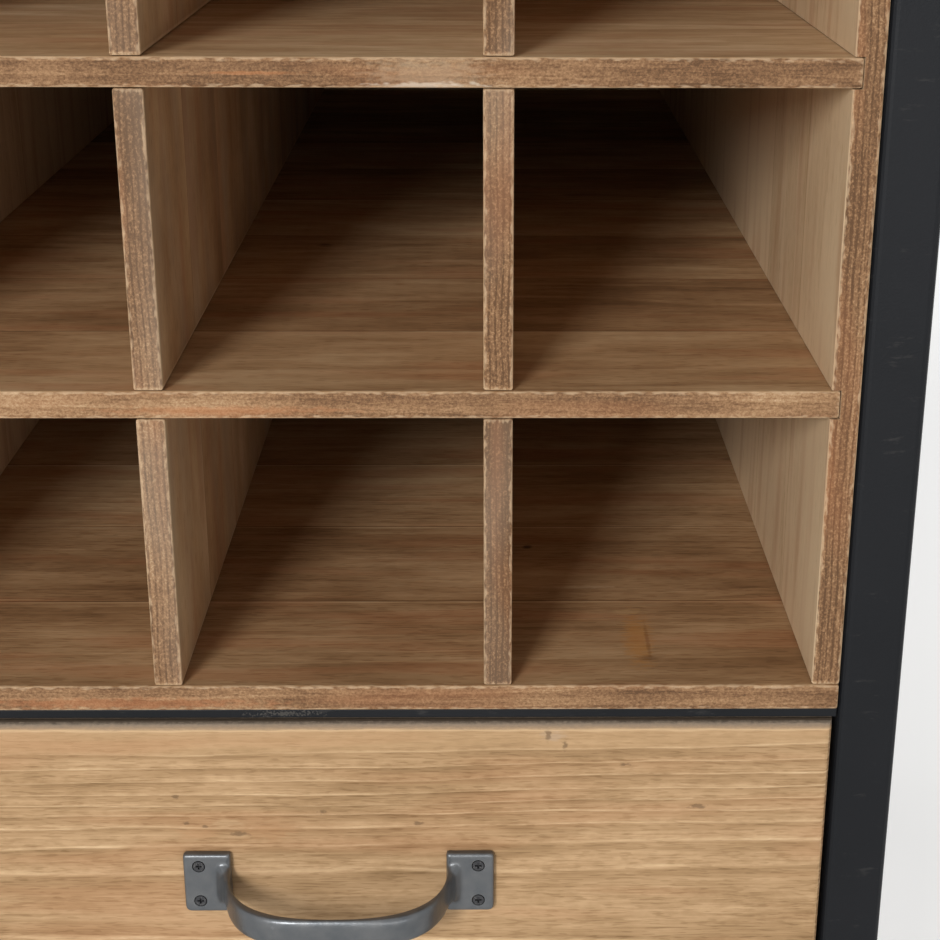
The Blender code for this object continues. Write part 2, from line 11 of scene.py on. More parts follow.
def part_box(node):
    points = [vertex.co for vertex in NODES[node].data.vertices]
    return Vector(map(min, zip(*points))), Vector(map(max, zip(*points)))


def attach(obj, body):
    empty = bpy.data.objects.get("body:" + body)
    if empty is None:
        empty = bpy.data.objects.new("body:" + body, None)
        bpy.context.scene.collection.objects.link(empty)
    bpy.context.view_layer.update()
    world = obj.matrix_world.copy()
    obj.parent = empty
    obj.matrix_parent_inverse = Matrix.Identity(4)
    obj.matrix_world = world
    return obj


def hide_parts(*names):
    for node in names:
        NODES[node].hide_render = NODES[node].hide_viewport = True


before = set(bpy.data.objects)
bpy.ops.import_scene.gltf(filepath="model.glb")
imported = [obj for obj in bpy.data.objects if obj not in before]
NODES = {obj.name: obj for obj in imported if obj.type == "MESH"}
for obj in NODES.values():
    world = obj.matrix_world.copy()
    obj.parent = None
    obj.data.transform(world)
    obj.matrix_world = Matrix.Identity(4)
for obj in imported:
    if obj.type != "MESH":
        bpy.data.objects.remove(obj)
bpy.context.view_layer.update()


def srgb(red, green, blue):
    """A colour given in 0 to 255, as the linear values that shaders take."""
    parts = [value / 255 for value in (red, green, blue)]
    return tuple(p / 12.92 if p <= 0.04045 else ((p + 0.055) / 1.055) ** 2.4 for p in parts)


# The part's nodes, and the two levels that places on it are given from
FACE_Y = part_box("drawer_front")[0].y
RACK_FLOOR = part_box("rack_bottom")[1].z

# Camera, from the photograph's shelf and divider edges
FOCAL_PIXELS = 1812.8
IMAGE_PIXELS = 940
PRINCIPAL_X = 505.7
CAMERA_DISTANCE = 0.52566
CAMERA_HEIGHT = 0.27218
CAMERA_X = 0.0496
CAMERA_PITCH = math.radians(20.578)
CAMERA_YAW = math.radians(0.655)
CAMERA_ROLL = math.radians(0.19)
SENSOR = 36.0
CLIP_START = 0.01

# Soft boxes: name, place from the middle of the rack's front edge, width, height and watts
LIGHTS = (("key", (-0.60, -1.75, 0.76), 0.46, 0.46, 29.5),
          ("window", (0.50, -1.90, 0.12), 2.2, 0.55, 10.0),
          ("strip", (-0.45, -1.05, 1.60), 1.3, 0.15, 2.2),
          ("top", (0.0, 0.45, 2.40), 1.0, 1.0, 13.0),
          ("rear_left", (-1.90, 1.60, 0.80), 1.4, 1.4, 16.0),
          ("rear_right", (1.90, 1.60, 0.80), 1.4, 1.4, 16.0))

# Pale room: its colour, and its strength as light on things and as it is seen
WHITE = (1.0, 1.0, 1.0, 1.0)
ROOM_LIGHT = 0.15
ROOM_SEEN = 1.0

# Floor: half its width, and the glow that makes it white where it is seen, rising between two distances
FLOOR_REACH = 12.0
FLOOR_TONE = srgb(190, 189, 187)
FLOOR_ROUGHNESS = 0.8
FLOOR_FADE = (1.1, 3.2)
FLOOR_GLOW = (0.50, 1.0)

# Fir boards: glued staves, the dark seam and worn lip between two, and where each stave's pith lies
STAVE = 0.0700
RACK_SEAM = 0.0660
SEAM_WIDTH = (0.0002, 0.0006)
LIP_START = STAVE / 2 - 0.0022
LIP_END = STAVE / 2 - 0.0010
PITH_ASIDE = 1.3 * STAVE
PITH_DEEP = 0.045
PITH_LEAST = 0.012
PITH_LEVEL = {"z": RACK_FLOOR, "y": FACE_Y, "x": 0.0}
PALE_SEAM_STEP = 0.011

# Growth rings: their spacing, how the staves' differ, and how far they sweep and tremble
RING_SPACING = 0.0042
RING_SPREAD = 0.0024
STAVE_SWEEP = 0.012
FRONT_SWEEP = 0.0016
RING_TREMBLE = 0.0009

# Across one ring, as places from 0 to 1: the light line of latewood at its end, and the dark band before it
LATE_LINE = ((0.0, 0.25), (0.05, 0.0), (0.84, 0.0), (0.92, 1.0), (0.985, 1.0), (1.0, 0.25))
DARK_BAND = ((0.0, 0.0), (0.30, 0.08), (0.60, 0.45), (0.82, 1.0), (0.88, 0.6), (0.92, 0.0))

# Rings of the drawer front: the pith behind its face, the radius of each light line, and how they fan out
PITH_DEPTH = 0.0210
PITH_HEIGHT = RACK_FLOOR - 0.0832
RING_RADII = (0.0100, 0.0175, 0.0246, 0.0314, 0.0372, 0.0411, 0.0444, 0.0485, 0.0528, 0.0575, 0.0625)
RING_REACH = 0.0800
RING_FAN = 0.46
FAN_START = 0.030

# Noise that every fir surface has: scale per metre along, across and through the grain, detail, roughness.
# Then the range of it that shows as flecks, and how far apart in it two boards lie
FIR_NOISE = {"fibre": ((38.0, 1250.0, 1250.0), 1.0, 0.62),
             "strand": ((16.0, 420.0, 420.0), 1.0),
             "fleck": ((190.0, 1500.0, 1500.0), 0.0),
             "mottle": ((55.0, 210.0, 210.0), 2.0),
             "ragged": ((300.0, 900.0, 900.0), 1.0),
             "blotch": ((7.0, 17.0, 17.0), 1.0)}
FLECKED = (0.72, 0.95)
SEED_STEP = 3.7

# Soft patches of the stained boards, which are broader and calmer on the upright ones
LEVEL_PATCH = (20.0, 85.0, 85.0)
UPRIGHT_PATCH = (26.0, 40.0, 40.0)
LEVEL_MOTTLE = 0.14
UPRIGHT_MOTTLE = 0.06

# Tones of the stained boards: faces, sawn edges, and the ruled edges and light foot of the upright ones
BROWN_FACE = 0.55
SAWN_DARKER = -0.13
RULED_DARKER = -0.13
EDGE_LINES = 0.0019
RULED_LINE = ((0.0, 0.0), (0.55, 0.1), (0.78, 1.0), (0.92, 0.7), (1.0, 0.0))
FOOT_LINE = (0.0006, 0.0016)
FOOT_LIGHT = 0.35

# How the boards differ: shades of single shelves, worn lip of the lowest board, looks of sides and dividers
SHELF_TONES = {"rack_bottom": -0.05, "rack_shelf_1": -0.06, "rack_shelf_2": 0.24}
SHELF_LIP = 0.08
BOTTOM_LIP = 0.28
SIDE_LOOK = {"lighter": 0.48, "figure": 1.2, "cloud": 0.45}
DIVIDER_LOOK = {"lighter": 0.08, "grey": 0.30, "figure": 0.25}
CASE_LOOK = {"lighter": 0.30, "figure": 1.3, "cloud": 0.45}

# Wood colours, from the darkest shade to the lightest
OLIVE = ((0.0, srgb(108, 76, 46)), (0.28, srgb(146, 110, 74)), (0.50, srgb(175, 139, 100)),
         (0.72, srgb(195, 162, 123)), (1.0, srgb(220, 192, 155)))
BROWN = ((0.0, srgb(94, 66, 42)), (0.28, srgb(129, 95, 65)), (0.50, srgb(154, 118, 83)),
         (0.72, srgb(174, 140, 104)), (1.0, srgb(206, 176, 140)))
HONEY = ((0.0, srgb(130, 100, 66)), (0.28, srgb(166, 133, 95)), (0.50, srgb(188, 154, 115)),
         (0.72, srgb(203, 170, 130)), (1.0, srgb(228, 199, 160)))
PALE = ((0.0, srgb(146, 113, 76)), (0.30, srgb(180, 148, 108)), (0.55, srgb(198, 168, 128)),
        (0.75, srgb(211, 183, 144)), (1.0, srgb(228, 204, 168)))
REDDISH = srgb(168, 108, 70)
GREYISH = srgb(158, 142, 124)
WORN = srgb(214, 184, 148)
END_GRAIN = srgb(104, 76, 50)

# Wood surface: sheen, roughness of dark and light shades, and how far in from an edge it is rubbed
WOOD_SHEEN = 0.30
WOOD_ROUGHNESS = (0.78, 0.60)
RUB_REACH = (0.0001, 0.0009)
RUB_RAGGED = 0.0014

# Stains on top of boards: place across and behind the front, half width and half depth, colour, strength
TOP_SOAK = 0.004
TOP_STAINS = {
    "rack_bottom": ((0.1014, 0.0345, 0.0052, 0.0210, srgb(186, 128, 62), 0.60),
                    (0.1040, 0.0200, 0.0042, 0.0022, srgb(96, 60, 32), 0.45),
                    (0.1046, 0.0330, 0.0008, 0.0140, srgb(110, 68, 34), 0.45),
                    (0.1000, 0.0560, 0.0060, 0.0022, srgb(196, 160, 112), 0.45),
                    (0.0652, 0.1152, 0.0020, 0.0022, srgb(60, 36, 20), 0.85),
                    (0.0837, 0.0778, 0.0130, 0.0012, srgb(206, 180, 146), 0.55)),
    "rack_shelf_1": ((-0.0150, 0.1900, 0.0030, 0.0035, srgb(66, 42, 26), 0.60),)}

# Stains on front edges: place across and below the board's top, half width and half height, colour,
# strength, and how torn the outline is
EDGE_SOAK = 0.008
TORN = 0.7
EDGE_STAINS = {
    "rack_bottom": ((-0.0700, 0.0060, 0.0500, 0.0020, srgb(180, 112, 70), 0.35, TORN),),
    "rack_shelf_1": ((-0.0300, 0.0060, 0.0400, 0.0014, srgb(186, 122, 78), 0.35, TORN),),
    "rack_shelf_2": ((0.0330, 0.0050, 0.0170, 0.0055, srgb(180, 158, 128), 0.40, TORN),
                     (0.0330, 0.0079, 0.0150, 0.0009, srgb(222, 208, 188), 0.50, 1.2),
                     (-0.0185, 0.0045, 0.0150, 0.0006, srgb(190, 122, 74), 0.35, TORN))}

# Plain, even wood high on the drawer front, past the outermost rings
PLAIN_FIR = srgb(184, 150, 110)
PLAIN_PHASE = (10.7, 11.1)
PLAIN_SHARE = 0.55

# Patches on the drawer front: place across and below the rack's floor, half width and half height, colour
# and strength
FRONT_PATCHES = ((0.0720, 0.0182, 0.0040, 0.0020, srgb(182, 160, 138), 0.40),
                 (-0.0235, 0.0546, 0.0090, 0.0034, srgb(174, 130, 90), 0.45),
                 (-0.0464, 0.0550, 0.0080, 0.0022, srgb(178, 134, 94), 0.45),
                 (-0.0366, 0.0512, 0.0058, 0.0020, srgb(204, 174, 134), 0.32))
FRONT_SOAK = 0.01

# Dark marks on the drawer front: place across and below the rack's floor, half width and half height
MARK_BROWN = srgb(104, 80, 56)
MARK_STRENGTH = 0.66
MARK_TORN = 1.1
FRONT_MARKS = ((-0.0052, 0.0468, 0.0016, 0.0010), (0.0267, 0.0511, 0.0018, 0.0008),
               (-0.0534, 0.0409, 0.0012, 0.0007), (0.1197, 0.0449, 0.0026, 0.0009),
               (-0.0503, 0.0509, 0.0010, 0.0007), (-0.0444, 0.0520, 0.0012, 0.0006),
               (-0.0330, 0.0552, 0.0030, 0.0008), (0.0950, 0.0290, 0.0018, 0.0006),
               (0.0698, 0.0176, 0.0010, 0.0026), (0.0754, 0.0214, 0.0009, 0.0020))

# Top of the drawer front, in metres below the rack's floor and behind its face: painted shade of the gap
# under the steel bar, fading into grey dust on the rounded edge and lifted on the top face, and a thin light
# line under it
SHADE_AND_DUST_FOOT = (0.0155, 0.0162)
SHADE_AND_DUST_SHARE = 0.90
SHADE_TO_DUST_FADE = (0.0129, 0.0162)
BEHIND_FADE = (0.0021, 0.0032)
BEHIND_LIGHTER = 0.70
# Dark end: painted shade of the gap under the steel bar, then grey dust, then the wood's own tone
DUST_AND_SHADE = ((0.0, srgb(30, 28, 27)), (0.10, srgb(42, 39, 37)), (0.22, srgb(92, 84, 75)),
        (0.36, srgb(122, 108, 93)), (0.55, srgb(138, 119, 99)), (0.80, srgb(160, 135, 107)),
        (1.0, srgb(188, 158, 126)))
ARRIS_LINE = 0.0162
ARRIS_WIDTH = (0.0001, 0.0006)
ARRIS_SHARE = 0.45
ARRIS_LIGHT = srgb(222, 190, 150)

# Powder coat of the steel, and the dust on the front bar
STEEL = (srgb(15, 17, 20), srgb(24, 25, 28))
STEEL_SCUFF = srgb(70, 68, 66)
STEEL_ROUGHNESS = (0.42, 0.60)
STEEL_SHEEN = 0.15
BAR_DUST = srgb(88, 84, 79)
BAR_DUST_X = -0.0160
BAR_DUST_HALF = (0.0085, 0.0040, 0.0009)
BAR_DUST_STRENGTH = 0.55
BAR_DUST_TORN = 2.0

# Cast iron, screws and plastic: the two tones that each goes between, and the ends of its roughness
IRON = (srgb(86, 89, 92), srgb(100, 101, 102))
IRON_RUBBED = srgb(136, 138, 140)
IRON_ROUGHNESS = (0.28, 0.37)
IRON_METALLIC = 0.65
SCREW = (srgb(58, 58, 60), srgb(120, 118, 115))
SCREW_ROUGHNESS = (0.50, 0.35)
SCREW_METALLIC = 0.7
PLASTIC = (srgb(26, 26, 27), srgb(38, 38, 38))
PLASTIC_ROUGHNESS = (0.60, 0.75)

# The cast pull's skin: voxel and smoothing that round its corners, and the seats of its screws
PLATE_THICKNESS = 0.0030
PULL_VOXEL = 0.00045
PULL_SOFTENING = 9
SOFTEN_FACTOR = 0.5
PLUG_RADIUS = 0.0026
PLUG_INSET = 0.0002
SCREW_SEAT = 0.0023
SCREW_HOLE = 0.0016
SEAT_BEFORE = 0.0006
SEAT_BEYOND = 0.0010
PEG_SIDES = 32
SHARP_ANGLE = math.radians(40)


def link_new(name, data):
    """A new object in the scene."""
    made = bpy.data.objects.new(name, data)
    bpy.context.scene.collection.objects.link(made)
    return made


def make_camera():
    """The photograph's camera: nearly level sideways, looking down at the lower rows and the drawer."""
    forward = Vector((math.sin(CAMERA_YAW) * math.cos(CAMERA_PITCH),
                      math.cos(CAMERA_YAW) * math.cos(CAMERA_PITCH), -math.sin(CAMERA_PITCH)))
    level = Vector((math.cos(CAMERA_YAW), -math.sin(CAMERA_YAW), 0.0))
    upright = level.cross(forward)
    right = math.cos(CAMERA_ROLL) * level + math.sin(CAMERA_ROLL) * upright
    up = right.cross(forward)
    data = bpy.data.cameras.new("camera")
    data.sensor_width = SENSOR
    data.lens = SENSOR * FOCAL_PIXELS / IMAGE_PIXELS
    data.shift_x = 0.5 - PRINCIPAL_X / IMAGE_PIXELS
    data.clip_start = CLIP_START
    camera = link_new("camera", data)
    turn = Matrix((right, up, -forward)).transposed().to_4x4()
    place = Vector((CAMERA_X, FACE_Y - CAMERA_DISTANCE, RACK_FLOOR + CAMERA_HEIGHT))
    camera.matrix_world = Matrix.Translation(place) @ turn
    bpy.context.scene.camera = camera


class Graph:
    """Short calls that add nodes to one node tree and wire them up."""

    def __init__(self, tree):
        self.tree = tree

    def node(self, kind, **settings):
        made = self.tree.nodes.new("ShaderNode" + kind)
        for name, value in settings.items():
            setattr(made, name, value)
        return made

    def feed(self, socket, value):
        """Links an output into the socket, or sets a plain value on it."""
        if isinstance(value, bpy.types.NodeSocket):
            self.tree.links.new(value, socket)
        else:
            socket.default_value = value

    def math(self, operation, *values):
        made = self.node("Math", operation=operation)
        for socket, value in zip(made.inputs, values):
            self.feed(socket, value)
        return made.outputs[0]

    def total(self, *terms):
        result = terms[0]
        for term in terms[1:]:
            result = self.math("ADD", result, term)
        return result

    def scaled(self, value, gain):
        return self.math("MULTIPLY", value, gain)

    def swing(self, value, gain):
        """A 0 to 1 value as a swing of half the gain either way about zero."""
        return self.scaled(self.math("SUBTRACT", value, 0.5), gain)

    def vector(self, operation, *values):
        made = self.node("VectorMath", operation=operation)
        for socket, value in zip(made.inputs, values):
            self.feed(socket, value)
        return made.outputs[0]

    def length(self, vector):
        made = self.node("VectorMath", operation="LENGTH")
        self.feed(made.inputs[0], vector)
        return made.outputs["Value"]

    def place(self):
        """The point on the object, in metres in the row's frame."""
        return self.node("TexCoord").outputs["Object"]

    def split(self, vector):
        made = self.node("SeparateXYZ")
        self.feed(made.inputs[0], vector)
        return made.outputs

    def join(self, x, y, z):
        made = self.node("CombineXYZ")
        for socket, value in zip(made.inputs, (x, y, z)):
            self.feed(socket, value)
        return made.outputs[0]

    def noise(self, place, scale, detail=2.0, roughness=0.5):
        """Noise stretched to 0 to 1, with its own scale per metre along each axis."""
        made = self.node("TexNoise")
        self.feed(made.inputs["Vector"], self.vector("MULTIPLY", place, scale))
        made.inputs["Scale"].default_value = 1.0
        made.inputs["Detail"].default_value = detail
        made.inputs["Roughness"].default_value = roughness
        return self.remap(made.outputs["Fac"], 0.30, 0.70)

    def chance(self, first, second):
        """Three random numbers for a pair of whole numbers."""
        made = self.node("TexWhiteNoise", noise_dimensions="2D")
        self.feed(made.inputs["Vector"], self.join(first, second, 0.0))
        return self.split(made.outputs["Color"])

    def remap(self, value, low, high, to_low=0.0, to_high=1.0, kind="LINEAR"):
        """The range low to high as another range, and no further past either end."""
        made = self.node("MapRange", interpolation_type=kind)
        for socket, number in zip(made.inputs, (value, low, high, to_low, to_high)):
            self.feed(socket, number)
        return made.outputs[0]

    def curve(self, value, *stops):
        """A ramp from 0 to 1 through (position, value or colour) stops."""
        made = self.node("ValToRGB")
        marks = made.color_ramp.elements
        while len(marks) < len(stops):
            marks.new(0.5)
        for mark, (position, shade) in zip(marks, stops):
            mark.position = position
            mark.color = (*shade, 1.0) if isinstance(shade, tuple) else (shade, shade, shade, 1.0)
        self.feed(made.inputs[0], value)
        return made.outputs[0]

    def mix(self, factor, first, second):
        """The first colour at factor 0, and the second at 1."""
        made = self.node("Mix", data_type="RGBA")
        for socket, value in ((made.inputs[0], factor), (made.inputs[6], first), (made.inputs[7], second)):
            if isinstance(value, tuple):
                value = (*value, 1.0)
            self.feed(socket, value)
        return made.outputs[2]

    def lift(self, height, strength, distance):
        """A bump from a height in 0 to 1, over distance in metres."""
        made = self.node("Bump")
        made.inputs["Strength"].default_value = strength
        made.inputs["Distance"].default_value = distance
        self.feed(made.inputs["Height"], height)
        return made.outputs[0]

    def seen(self):
        """1 where a thing is seen, straight, in a sheen or through glass, and 0 where it lights others."""
        path = self.node("LightPath")
        straight = self.math("MAXIMUM", path.outputs["Is Camera Ray"], path.outputs["Is Glossy Ray"])
        return self.math("MAXIMUM", straight, path.outputs["Is Transmission Ray"])


def new_material(name):
    """A new material, its graph and its shader."""
    material = bpy.data.materials.new(name)
    material.use_nodes = True
    graph = Graph(material.node_tree)
    shader = material.node_tree.nodes["Principled BSDF"]
    return material, graph, shader


def dress(node, material):
    """Gives a CAD node its finish."""
    data = NODES[node].data
    data.materials.clear()
    data.materials.append(material)


def facing(graph, axis, sign):
    """1 where the surface faces along an axis of the row, 0 where it faces elsewhere."""
    normal = graph.split(graph.node("TexCoord").outputs["Normal"])[axis]
    return graph.remap(graph.scaled(normal, sign), 0.35, 0.80, kind="SMOOTHSTEP")


def edge_gap(graph, node):
    """Distance in metres from a point on a board's face to the nearest edge of that face."""
    low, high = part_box(node)
    place = graph.split(graph.place())
    gaps = []
    for axis in range(3):
        offset = graph.math("ABSOLUTE", graph.math("SUBTRACT", place[axis], (low[axis] + high[axis]) / 2))
        gaps.append(graph.math("SUBTRACT", (high[axis] - low[axis]) / 2, offset))
    lesser = graph.math("MINIMUM", gaps[0], gaps[1])
    greater = graph.math("MAXIMUM", gaps[0], gaps[1])
    return graph.math("MAXIMUM", lesser, graph.math("MINIMUM", greater, gaps[2]))


def board_place(graph, axes):
    """Outputs along the grain, across the board and through it, in metres."""
    parts = dict(zip("xyz", graph.split(graph.place())))
    return [parts[letter] for letter in axes]


def fir_texture(graph, along, across, through, seed):
    """The fibres, flecks and soft patches that every fir surface has."""
    place = graph.join(along, across, graph.total(through, seed * SEED_STEP))
    fir = SimpleNamespace(place=place)
    for name, look in FIR_NOISE.items():
        setattr(fir, name, graph.noise(place, *look))
    fir.fleck = graph.remap(fir.fleck, *FLECKED)
    return fir


def pith_radius(graph, side, depth):
    """Distance from the pith, from the distances aside and behind."""
    return graph.math("SQRT", graph.total(graph.math("POWER", side, 2.0), graph.math("POWER", depth, 2.0)))


def ring_lines(graph, fir, phase):
    """Gives a board the light line at each ring's end, and the darker band just before it."""
    ring = graph.math("FRACT", phase)
    fir.late = graph.curve(ring, *LATE_LINE)
    fir.dark = graph.curve(ring, *DARK_BAND)


def stave_fir(graph, axes, seed, seam_at):
    """A board glued from flat-sawn staves, each with rings, tone and grain of its own."""
    along, across, through = board_place(graph, axes)
    count = graph.scaled(graph.math("SUBTRACT", across, seam_at), 1 / STAVE)
    index = graph.math("FLOOR", count)
    local = graph.scaled(graph.swing(graph.math("FRACT", count), 1.0), STAVE)
    first, second, third = graph.chance(index, float(seed))
    run = graph.total(along, graph.scaled(first, 4.0))
    fir = fir_texture(graph, run, across, through, seed)
    side = graph.math("SUBTRACT", local, graph.swing(first, PITH_ASIDE))
    level = graph.math("SUBTRACT", through, PITH_LEVEL[axes[2]])
    depth = graph.total(level, graph.scaled(second, PITH_DEEP), PITH_LEAST)
    sweep = graph.noise(fir.place, (1.8, 6.0, 6.0), 1.0)
    tremble = graph.noise(fir.place, (18.0, 110.0, 110.0), 1.0)
    radius = graph.total(pith_radius(graph, side, depth), graph.swing(sweep, STAVE_SWEEP),
                         graph.swing(tremble, RING_TREMBLE))
    spacing = graph.total(graph.scaled(third, RING_SPREAD), RING_SPACING - RING_SPREAD / 2)
    ring_lines(graph, fir, graph.math("DIVIDE", radius, spacing))
    fir.tone = second
    seam = graph.math("SUBTRACT", STAVE / 2, graph.math("ABSOLUTE", local))
    fir.seam = graph.remap(seam, *SEAM_WIDTH, 1.0, 0.0)
    lip = graph.remap(local, LIP_START, LIP_END)
    fir.lip = graph.math("MULTIPLY", lip, graph.math("SUBTRACT", 1.0, fir.seam))
    fir.through = through
    return fir


def finish_wood(graph, shader, fir, shade, colour, node, end_axis, red, worn=0.45, grey=0.0):
    """Adds tints, end grain and worn arrises, sets colour, roughness and sheen, and gives the colour back."""
    blush = graph.noise(fir.place, (11.0, 90.0, 90.0), 1.0)
    colour = graph.mix(graph.scaled(graph.remap(blush, 0.55, 0.95), red), colour, REDDISH)
    if grey:
        bloom = graph.noise(fir.place, (14.0, 40.0, 40.0), 1.0)
        colour = graph.mix(graph.scaled(graph.remap(bloom, 0.35, 0.9), grey), colour, GREYISH)
    ends = graph.total(facing(graph, end_axis, 1.0), facing(graph, end_axis, -1.0))
    pores = graph.noise(fir.place, (900.0, 900.0, 900.0), 2.0)
    dark_ends = graph.math("MULTIPLY", ends, graph.remap(pores, 0.0, 1.0, 0.35, 0.75))
    colour = graph.mix(dark_ends, colour, END_GRAIN)
    reach = graph.math("SUBTRACT", edge_gap(graph, node), graph.swing(fir.ragged, RUB_RAGGED))
    colour = graph.mix(graph.remap(reach, *RUB_REACH, worn, 0.0), colour, WORN)
    graph.feed(shader.inputs["Base Color"], colour)
    graph.feed(shader.inputs["Roughness"], graph.remap(shade, 0.2, 0.9, *WOOD_ROUGHNESS))
    shader.inputs["Specular IOR Level"].default_value = WOOD_SHEEN
    return colour


def stained(graph, ragged, colour, middle, half, shade, strength, torn=TORN):
    """Lays a ragged, soft-edged stain of another colour at a place in the row's frame."""
    away = graph.length(graph.vector("DIVIDE", graph.vector("SUBTRACT", graph.place(), middle), half))
    reach = graph.total(away, graph.swing(ragged, torn))
    return graph.mix(graph.remap(reach, 0.45, 1.15, strength, 0.0), colour, shade)


def board_stains(graph, fir, colour, node):
    """Marks seen on single boards: a resin patch, small knots, pale streaks, and a bleached, chipped edge."""
    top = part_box(node)[1].z
    for x, behind, wide, deep, shade, strength in TOP_STAINS.get(node, ()):
        middle = (x, FACE_Y + behind, top)
        colour = stained(graph, fir.ragged, colour, middle, (wide, deep, TOP_SOAK), shade, strength)
    for x, drop, wide, tall, shade, strength, torn in EDGE_STAINS.get(node, ()):
        middle = (x, FACE_Y, top - drop)
        colour = stained(graph, fir.ragged, colour, middle, (wide, EDGE_SOAK, tall), shade, strength, torn)
    return colour


def sawn_edge(graph, fir, upright):
    """Rough sawn front edges, speckled and streaked: the speckle, and how much the shade changes there."""
    speckle = graph.noise(fir.place, (1250.0, 1600.0, 1600.0), 1.0, 0.8)
    streak = graph.noise(fir.place, (30.0, 700.0, 700.0), 1.0)
    patch = graph.noise(fir.place, (22.0, 60.0, 60.0), 1.0)
    shade = graph.total(SAWN_DARKER, graph.swing(speckle, 0.35), graph.swing(streak, 0.15),
                        graph.swing(patch, 0.08))
    if upright:
        wander = graph.swing(graph.noise(fir.place, (30.0, 5.0, 5.0), 1.0), 0.0012)
        line = graph.math("FRACT", graph.scaled(graph.total(fir.through, wander), 1 / EDGE_LINES))
        ruled = graph.curve(line, *RULED_LINE)
        dots = graph.remap(speckle, *FLECKED)
        shade = graph.total(shade, graph.scaled(ruled, -0.28), graph.scaled(dots, 0.12), RULED_DARKER)
    return speckle, shade


def brown_board(node, axes, seed, seam_at=0.0, lighter=0.0, grey=0.0, figure=1.0, cloud=1.0, lip=SHELF_LIP):
    """Stained fir of the rack: soft streaked faces, and rough sawn speckled edges at the front."""
    material, graph, shader = new_material(node + "_fir")
    fir = stave_fir(graph, axes, seed, seam_at)
    sawn = facing(graph, 1, -1.0)
    upright = axes[0] == "z"
    speckle, edge = sawn_edge(graph, fir, upright)
    soft = graph.noise(fir.place, UPRIGHT_PATCH if upright else LEVEL_PATCH, 2.0)
    shade = graph.total(BROWN_FACE + lighter,
                        graph.swing(fir.fibre, 0.06 * figure),
                        graph.swing(fir.strand, 0.05 * figure),
                        graph.swing(fir.mottle, (UPRIGHT_MOTTLE if upright else LEVEL_MOTTLE) * cloud),
                        graph.swing(soft, 0.22 * cloud),
                        graph.swing(fir.blotch, 0.28 * cloud),
                        graph.scaled(fir.late, 0.06 * figure),
                        graph.scaled(fir.dark, -0.09 * figure),
                        graph.swing(fir.tone, 0.26),
                        graph.scaled(fir.fleck, -0.12),
                        graph.scaled(fir.seam, -0.30),
                        graph.scaled(fir.lip, lip),
                        graph.math("MULTIPLY", sawn, graph.math("SUBTRACT", edge, lighter)))
    if upright:
        foot = graph.math("SUBTRACT", graph.split(graph.place())[2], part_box(node)[0].z)
        shade = graph.math("ADD", shade, graph.remap(foot, *FOOT_LINE, FOOT_LIGHT, 0.0))
    colour = graph.mix(sawn, graph.curve(shade, *OLIVE), graph.curve(shade, *BROWN))
    colour = board_stains(graph, fir, colour, node)
    finish_wood(graph, shader, fir, shade, colour, node, end_axis="xyz".index(axes[0]), red=0.30, grey=grey)
    relief = graph.total(graph.scaled(fir.fibre, 0.30), graph.scaled(fir.late, 0.30),
                         graph.scaled(graph.math("MULTIPLY", sawn, speckle), 0.7),
                         graph.scaled(fir.seam, -0.5))
    graph.feed(shader.inputs["Normal"], graph.lift(relief, 0.38, 0.0003))
    dress(node, material)


def honey_shade(graph, fir):
    """Shade of the brushed honey fir: fine curls, and rings whose light lines come and go."""
    curls = graph.noise(fir.place, (210.0, 520.0, 520.0), 2.0, 0.6)
    spots = graph.math("MULTIPLY", fir.dark, curls)
    fading = graph.noise(fir.place, (26.0, 150.0, 150.0), 1.0)
    late = graph.math("MULTIPLY", fir.late, graph.remap(fading, 0.2, 0.9, 0.04, 0.32))
    return graph.total(0.40,
                       graph.swing(curls, 0.17),
                       graph.swing(fir.fibre, 0.15),
                       graph.swing(fir.strand, 0.12),
                       graph.swing(fir.mottle, 0.17),
                       graph.swing(fir.blotch, 0.14),
                       late,
                       graph.scaled(spots, -0.30),
                       graph.swing(fir.tone, 0.12),
                       graph.scaled(fir.fleck, -0.12),
                       graph.scaled(fir.seam, -0.2))


def honey_relief(graph, shader, fir):
    """Brushed grain: the hard light lines stand up, and the seams and flecks lie low."""
    relief = graph.total(graph.scaled(fir.fibre, 0.30), graph.scaled(fir.late, 0.7),
                         graph.scaled(fir.fleck, -0.25), graph.scaled(fir.seam, -0.5))
    graph.feed(shader.inputs["Normal"], graph.lift(relief, 0.6, 0.0003))


def honey_board(node, axes, seed, seam_at):
    """Brushed honey fir glued from staves, for the worktop."""
    material, graph, shader = new_material(node + "_fir")
    fir = stave_fir(graph, axes, seed, seam_at)
    shade = honey_shade(graph, fir)
    colour = graph.curve(shade, *HONEY)
    finish_wood(graph, shader, fir, shade, colour, node, end_axis="xyz".index(axes[0]), red=0.25)
    honey_relief(graph, shader, fir)
    dress(node, material)


